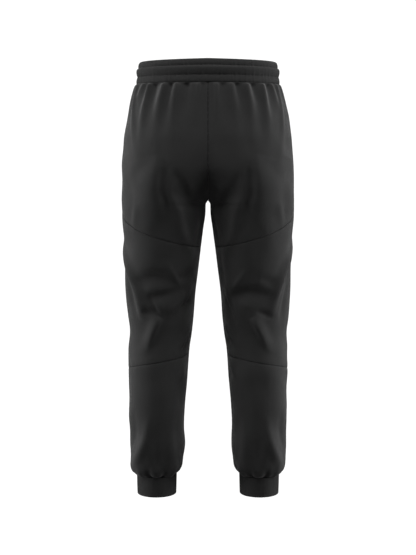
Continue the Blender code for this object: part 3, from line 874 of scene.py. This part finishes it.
def section_grain(down, depth, around):
    """Grain of a closed section carried round: the length round it, and the length along the section."""
    steps = np.hypot(np.diff(down[:, 0], append=down[0, 0]), np.diff(depth[:, 0], append=depth[0, 0]))
    along = np.concatenate([[0], np.cumsum(steps)])
    return np.stack(np.broadcast_arrays(around, -along[:, None]), axis=-1)


def waves_round(share, waves):
    """A sum of sine waves round a closed length: each has a whole count, a strength and a phase."""
    return sum(strength * np.sin(2 * pi * count * share + phase) for count, strength, phase in waves)


# ---------------- waistband


def around_waist(count):
    """Turns evenly spaced by length round the waistband, and its length. A turn is 0 at the back, 2 at the
    front and 4 at the back again."""
    turn = np.linspace(0, 4, WAIST_SAMPLES)
    line = base_point(np.minimum(turn, 4 - turn), 0.0)
    line[:, 0] *= np.where(turn <= 2, 1, -1)
    length = np.concatenate([[0], np.cumsum(np.linalg.norm(np.diff(line, axis=0), axis=1))])
    return np.interp(np.arange(count) / count * length[-1], length, turn), length[-1]


def band_place(turn, drop, depth):
    """A point of the waistband: the turn round it, the drop down its face as a share of its height, and the
    depth towards the wearer."""
    girth = np.minimum(turn, 4 - turn)
    low, high = seam_height(WAIST_SEAM, girth), seam_height(BAND_TOP, girth)
    base = base_point(girth, high + (low - high) * drop)
    normal = outward(base)
    normal[..., 2] = 0
    normal /= np.linalg.norm(normal, axis=-1, keepdims=True)
    point = base - depth[..., None] * normal
    point[..., 0] *= np.where(turn <= 2, 1, -1)
    return point


def band_puff(drop):
    """How far the waistband stands out of its stitch rows at each share of its height: in each channel a sine
    bow, whose crest a power of the share moves up or down."""
    puff, top = np.zeros_like(drop), 0.0
    for channel in CHANNELS:
        share = np.clip((drop - top) / channel.share, 0, 1)
        bow = np.sin(pi * share ** (np.log(0.5) / np.log(channel.crest)))
        puff = np.where((share > 0) & (share < 1), channel.puff * bow**BOW_POWER, puff)
        top += channel.share
    return puff


def waistband_shell(sizes, material):
    """The waistband: a closed section carried round the waist. It puffs out between its rows of stitching,
    cosine ribs run up it and over its top, and the elastic draws it into small uneven gathers."""
    _, length = around_waist(1)
    ribs = round(length / sizes.rib_pitch)
    turn, _ = around_waist(ribs * RIB_COLUMNS)
    down, depth, out_down, out_depth = closed_section(BAND_TALL, sizes.band_wall, BAND_ROWS)
    share = np.arange(len(turn)) / len(turn)
    groove = sum(np.exp(-(((down - row * BAND_TALL) / BAND_GROOVE) ** 2)) for row in STITCH_ROWS)
    gathers = sizes.band_gather * waves_round(share, BAND_WAVES) * (BAND_OPEN + (1 - BAND_OPEN) * groove)
    rib = sizes.rib_depth / 2 * np.cos(2 * pi * ribs * share) * (1 - GROOVE_RIB * groove)
    face = band_puff(down / BAND_TALL) - sizes.stitch_sink * groove + gathers
    rise = rib + np.where(out_depth == -1, face, 0)
    drop = (down + rise * out_down) / BAND_TALL
    points = band_place(np.broadcast_to(turn, rise.shape), drop, depth + rise * out_depth)
    grain = section_grain(down, depth, np.arange(len(turn) + 1) / len(turn) * length)
    return surface("waistband_rib", points, grain, material, True, True), (length, BAND_TALL * BOWED)


def band_stitches(sizes, material):
    """The rows of lockstitch in the waistband's grooves, one mesh: each stitch is a six-sided spindle that
    bows out and whose ends draw into the cloth."""
    _, length = around_waist(1)
    count = round(length / (sizes.stitch + sizes.stitch_space))
    turn, _ = around_waist(count)
    sides, rings = 6, 4
    angle = np.arange(sides) / sides * 2 * pi
    along = np.array((-0.5, -0.25, 0.25, 0.5))[:, None] * sizes.stitch / length * 4
    thick = np.array((0.5, 1.0, 1.0, 0.5))[:, None] * sizes.thread / 2
    bow = np.array((-0.5, 0.5, 0.5, -0.5))[:, None] * sizes.thread
    place = (turn[:, None, None] + along) % 4
    drop = np.array(STITCH_ROWS)[:, None, None, None] + thick * np.sin(angle) / BAND_TALL
    depth = sizes.stitch_sink - bow - thick * np.cos(angle)
    points = band_place(*np.broadcast_arrays(place, drop, depth)).reshape(-1, 3)
    faces = tube_faces(rings, sides)
    starts = np.arange(len(points) // (rings * sides)) * rings * sides
    faces = [(starts[:, None, None] + part).reshape(-1, part.shape[-1]) for part in faces]
    return new_piece("waistband_stitching", points, faces, material)


# ---------------- cuffs


def cuff_shell(side, sizes, material):
    """A cuff: a closed section carried round the ankle on ellipses, with cosine ribs that run down it and
    round its hem, and a slight barrel between the seam and the hem."""
    low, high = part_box(f"cuff_{side}")
    tall = high.z - low.z
    perimeter = pi * ((high.x - low.x) + (high.y - low.y)) / 2
    ribs = round(perimeter / sizes.cuff_pitch)
    share = np.arange(ribs * CUFF_COLUMNS) / (ribs * CUFF_COLUMNS)
    down, depth, out_down, out_depth = closed_section(tall, sizes.cuff_wall, CUFF_ROWS)
    barrel = sizes.cuff_barrel * np.sin(pi * np.clip(down / tall, 0, 1))
    face = barrel + sizes.band_gather * waves_round(share, CUFF_WAVES)
    rise = sizes.cuff_rib / 2 * np.cos(2 * pi * ribs * share) + np.where(out_depth == -1, face, 0)
    height = high.z - down - rise * out_down
    outer, inner, back, front = (table_column(CUFF_RINGS, name, height) for name in CuffRing._fields[1:])
    inwards = depth + rise * out_depth
    x = (outer + inner) / 2 + ((outer - inner) / 2 - inwards) * np.sin(2 * pi * share)
    y = (back + front) / 2 - ((front - back) / 2 - inwards) * np.cos(2 * pi * share)
    points = np.stack([x, y, height], axis=-1)
    grain = section_grain(down, depth, np.arange(len(share) + 1) / len(share) * perimeter)
    if side == "left":
        points, grain = mirrored(points), grain[:, ::-1]
    return surface(f"cuff_{side}_rib", points, grain, material, True, True), (perimeter, tall * BOWED)


# ---------------- materials


def add(tree, kind, inputs=None, **settings):
    """Adds a node, sets its own settings, and fills its inputs with values or with links from other nodes."""
    node = tree.nodes.new("ShaderNode" + kind)
    for name, value in settings.items():
        setattr(node, name, value)
    for name, value in (inputs or {}).items():
        if isinstance(value, bpy.types.NodeSocket):
            tree.links.new(value, node.inputs[name])
        else:
            node.inputs[name].default_value = value
    return node


def shade(colour, factor):
    """A lighter or darker shade of a colour, for a colour socket."""
    return (*(factor * part for part in colour), 1.0)


def new_material(name):
    """An empty node tree in a new material."""
    material = bpy.data.materials.new(name)
    material.use_nodes = True
    material.node_tree.nodes.clear()
    return material, material.node_tree


def knit_material(name, colour, knit, shader_values):
    """A knit on the grain: wales a pitch apart, each a furrow beside a column of slanting loops a course
    tall. The loops are a sine wave of the height plus the distance from the wale's middle, which draws their
    V. Slow noise mottles the colour, the furrows are darkened with painted shade, and painted shade darkens
    the cloth along the seams' grooves."""
    material, tree = new_material(name)
    grain = add(tree, "UVMap", uv_map="grain").outputs["UV"]
    split = add(tree, "SeparateXYZ", {"Vector": grain}).outputs
    wale = add(tree, "Math", {0: split["X"], 1: knit.pitch / 2}, operation="PINGPONG").outputs[0]
    slant = add(tree, "Math", {0: wale, 1: split["Y"]}, operation="ADD").outputs[0]
    angle = add(tree, "Math", {0: slant, 1: 2 * pi / knit.course}, operation="MULTIPLY").outputs[0]
    loop = add(tree, "Math", {0: angle}, operation="SINE").outputs[0]
    limits = {"Value": wale, "From Max": knit.pitch / 4}
    furrow = add(tree, "MapRange", limits, interpolation_type="SMOOTHSTEP").outputs["Result"]
    place = add(tree, "TexCoord").outputs["Object"]
    fuzz = add(tree, "TexNoise", {"Vector": place, "Scale": FUZZ_SCALE, "Detail": 3.0}).outputs["Fac"]
    raised = add(tree, "Math", {0: loop, 1: LOOP_HEIGHT, 2: furrow}, operation="MULTIPLY_ADD").outputs[0]
    raised = add(tree, "Math", {0: fuzz, 1: FUZZ_HEIGHT, 2: raised}, operation="MULTIPLY_ADD").outputs[0]
    bump = add(tree, "Bump", {"Height": raised, "Strength": 1.0, "Distance": knit.relief}).outputs["Normal"]
    cloud = add(tree, "TexNoise", {"Vector": place, "Scale": CLOUD_SCALE, "Detail": 4.0}).outputs["Fac"]
    ends = {6: shade(colour, 1 - knit.mottle), 7: shade(colour, 1 + knit.mottle)}
    cloudy = add(tree, "Mix", {0: cloud, **ends}, data_type="RGBA").outputs[2]
    # Painted shade: darker in the furrows between wales.
    ends = {6: shade(colour, FURROW_PAINTED_SHADE), 7: cloudy}
    furrow_shaded = add(tree, "Mix", {0: furrow, **ends}, data_type="RGBA").outputs[2]
    # Painted shade: the cloth is darker in the seams' grooves.
    seam = add(tree, "Attribute", attribute_name="seam").outputs["Fac"]
    ends = {6: furrow_shaded, 7: shade(colour, SEAM_PAINTED_SHADE)}
    seam_shaded = add(tree, "Mix", {0: seam, **ends}, data_type="RGBA").outputs[2]
    values = {"Base Color": seam_shaded, "Normal": bump, **shader_values}
    shader = add(tree, "BsdfPrincipled", values).outputs["BSDF"]
    add(tree, "OutputMaterial", {"Surface": shader})
    return material


def brushed_double_knit(colour):
    """Cotton and polyester double knit, lightly brushed: a matt charcoal with hardly any loops to see, and a
    short nap that lightens where the eye looks along the surface. The real wales are 1.1 mm apart, too fine
    to show, so they are drawn twice as coarse."""
    values = {"Roughness": 0.85, "Specular IOR Level": 0.2, "Sheen Weight": 0.2, "Sheen Roughness": 0.45}
    return knit_material("brushed_double_knit", colour, BODY_KNIT, values)


def cotton_rib_knit(colour):
    """Two-by-two cotton rib with elastane: the same charcoal, a little smoother and glossier than the brushed
    cloth, with soft upright ribs. The mesh makes the ribs, and their loops are drawn twice as coarse."""
    values = {"Roughness": 0.8, "Specular IOR Level": 0.2, "Sheen Weight": 0.1, "Sheen Roughness": 0.4}
    return knit_material("cotton_rib_knit", colour, RIB_KNIT, values)


def spun_polyester_thread(colour):
    """Spun polyester sewing thread in the cloth's shade: a faint silky gloss, and a twist along the strand
    with painted light on its ridges and painted shade in its grooves.
    """
    material, tree = new_material("spun_polyester_thread")
    place = add(tree, "TexCoord").outputs["Object"]
    twist = add(tree, "TexWave", {"Vector": place, "Scale": TWIST_SCALE}, bands_direction="DIAGONAL")
    bump = add(tree, "Bump", {"Height": twist.outputs["Fac"], "Distance": TWIST_DEPTH}).outputs["Normal"]
    # Painted light and shade: lighter on the twist's ridges, darker in its grooves.
    ends = {6: shade(colour, 1 - TWIST_PAINTED_SHADE), 7: shade(colour, 1 + TWIST_PAINTED_SHADE)}
    twist_shaded = add(tree, "Mix", {0: twist.outputs["Fac"], **ends}, data_type="RGBA").outputs[2]
    values = {"Base Color": twist_shaded, "Normal": bump, "Roughness": 0.55, "Specular IOR Level": 0.4}
    shader = add(tree, "BsdfPrincipled", values).outputs["BSDF"]
    add(tree, "OutputMaterial", {"Surface": shader})
    return material


def backlit_acrylic(colour):
    """White acrylic lit from below, as a product table has: even white, with no shadow on it."""
    material, tree = new_material("backlit_acrylic")
    glow = add(tree, "Emission", {"Color": (*colour, 1.0), "Strength": WHITE_GLOW}).outputs["Emission"]
    add(tree, "OutputMaterial", {"Surface": glow})
    return material


def material_of(function, colour):
    """The material that a function makes, made once and then shared."""
    return bpy.data.materials.get(function.__name__) or function(tuple(colour))


# ---------------- operators


class JOGGERS_OT_waistband(Operator):
    """The elastic waistband of folded rib knit and its two rows of stitching."""

    bl_idname = "joggers.waistband"
    bl_label = "Waistband"

    def execute(self, context):
        sizes, colours = context.scene.jogger_sizes, context.scene.jogger_colours
        shell, flat = waistband_shell(sizes, material_of(cotton_rib_knit, colours.rib))
        stitches = band_stitches(sizes, material_of(spun_polyester_thread, colours.thread))
        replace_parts(wear(shell), "waistband")
        wear(stitches)
        return {"FINISHED"}


class JOGGERS_OT_leg_panels(Operator):
    """The eight panels of the legs, with the overlocked seam allowances on their inner faces."""

    bl_idname = "joggers.leg_panels"
    bl_label = "Leg panels"

    def execute(self, context):
        sizes, colours = context.scene.jogger_sizes, context.scene.jogger_colours
        knit = material_of(brushed_double_knit, colours.knit)
        thread = material_of(spun_polyester_thread, colours.thread)
        for side in SIDES:
            for cut in CUTS:
                panel = leg_panel(cut, side, sizes, knit)
                edge = panel_allowances(cut, side, sizes, thread)
                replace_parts(wear(panel), f"{cut.solid}_{side}")
                wear(edge)
        return {"FINISHED"}


class JOGGERS_OT_cuffs(Operator):
    """The two ankle cuffs of folded rib knit."""

    bl_idname = "joggers.cuffs"
    bl_label = "Cuffs"

    def execute(self, context):
        sizes, colours = context.scene.jogger_sizes, context.scene.jogger_colours
        rib = material_of(cotton_rib_knit, colours.rib)
        for side in SIDES:
            shell, flat = cuff_shell(side, sizes, rib)
            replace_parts(wear(shell), f"cuff_{side}")
        return {"FINISHED"}


class JOGGERS_OT_studio(Operator):
    """A white studio: the floor, the soft lights, the dim room and the camera."""

    bl_idname = "joggers.studio"
    bl_label = "Studio"

    def execute(self, context):
        scene, studio = context.scene, context.scene.jogger_studio
        low, high = CAD_BOX
        centre = (low + high) / 2
        ends = (-studio.floor_reach, studio.floor_reach)
        corners = np.array([[(x, y, low.z - studio.floor_drop) for x in ends] for y in ends[::-1]])
        white = backlit_acrylic(scene.jogger_colours.floor)
        floor = surface("studio_floor", corners, corners[..., :2], white)
        for lit in ("diffuse", "glossy", "transmission", "shadow"):
            setattr(floor, f"visible_{lit}", False)
        for name, x in (("side_light_left", -studio.side), ("side_light_right", studio.side)):
            softbox(name, (x, 0, centre.z), centre, (studio.side_depth, studio.side_tall), studio.side_power)
        place = (0, -studio.top_near, centre.z + studio.top_lift)
        softbox("top_light", place, centre, (studio.top_size,) * 2, studio.top_power)
        scene.world = studio_room(studio)
        scene.view_settings.view_transform = "Standard"
        camera = bpy.data.cameras.new("camera")
        camera.lens = studio.lens
        aim = (0, 0, centre.z + studio.aim_lift)
        scene.camera = aimed(camera, (0, -studio.distance, studio.height), aim)
        return {"FINISHED"}


def studio_room(studio):
    """Dim light from all round, stronger from above, in a room that looks white."""
    room = bpy.data.worlds.new("studio_room")
    room.use_nodes = True
    tree = room.node_tree
    tree.nodes.clear()
    way = add(tree, "TexCoord").outputs["Generated"]
    rise = add(tree, "SeparateXYZ", {0: way}).outputs["Z"]
    strength = add(tree, "MapRange", {0: rise, 1: -1.0, 3: studio.ground, 4: studio.ceiling}).outputs[0]
    lit = add(tree, "Background", {"Color": (1, 1, 1, 1), "Strength": strength}).outputs[0]
    white = add(tree, "Background", {"Color": (1, 1, 1, 1), "Strength": WHITE_GLOW}).outputs[0]
    seen = add(tree, "LightPath").outputs["Is Camera Ray"]
    both = add(tree, "MixShader", {0: seen, 1: lit, 2: white}).outputs[0]
    add(tree, "OutputWorld", {"Surface": both})
    return room


def softbox(name, place, target, size, power):
    """A rectangular area light that faces the garment."""
    light = bpy.data.lights.new(name, "AREA")
    light.shape = "RECTANGLE"
    light.size, light.size_y = size
    light.energy = power
    aimed(light, place, target)


def aimed(light_or_camera, place, target):
    """An object for a light or a camera, at a place in the studio and turned towards a target."""
    thing = bpy.data.objects.new(light_or_camera.name, light_or_camera)
    thing.location = place
    thing.rotation_euler = (Vector(target) - Vector(place)).to_track_quat("-Z", "Y").to_euler()
    bpy.context.scene.collection.objects.link(thing)
    return thing


class JOGGERS_PT_sidebar(Panel):
    """Lists the garment's pieces in the order they are made, and its sizes and colours."""

    bl_idname = "JOGGERS_PT_sidebar"
    bl_label = "Jogger Sweatpants"
    bl_space_type = "VIEW_3D"
    bl_region_type = "UI"
    bl_category = "Joggers"

    def draw(self, context):
        layout = self.layout
        for operator in OPERATORS:
            layout.operator(operator.bl_idname)
        for group in (context.scene.jogger_sizes, context.scene.jogger_colours, context.scene.jogger_studio):
            box = layout.box()
            for name in group.__annotations__:
                box.prop(group, name)


OPERATORS = (JOGGERS_OT_waistband, JOGGERS_OT_leg_panels, JOGGERS_OT_cuffs, JOGGERS_OT_studio)
GROUPS = {"jogger_sizes": JoggerSizes, "jogger_colours": JoggerColours, "jogger_studio": JoggerStudio}
CLASSES = (*GROUPS.values(), *OPERATORS, JOGGERS_PT_sidebar)


def register():
    for kind in CLASSES:
        bpy.utils.register_class(kind)
    for name, group in GROUPS.items():
        setattr(bpy.types.Scene, name, PointerProperty(type=group))


def unregister():
    for name in GROUPS:
        delattr(bpy.types.Scene, name)
    for kind in reversed(CLASSES):
        bpy.utils.unregister_class(kind)


def main():
    register()
    bpy.ops.joggers.waistband()
    bpy.ops.joggers.leg_panels()
    bpy.ops.joggers.cuffs()
    bpy.ops.joggers.studio()


if __name__ == "__main__":
    main()
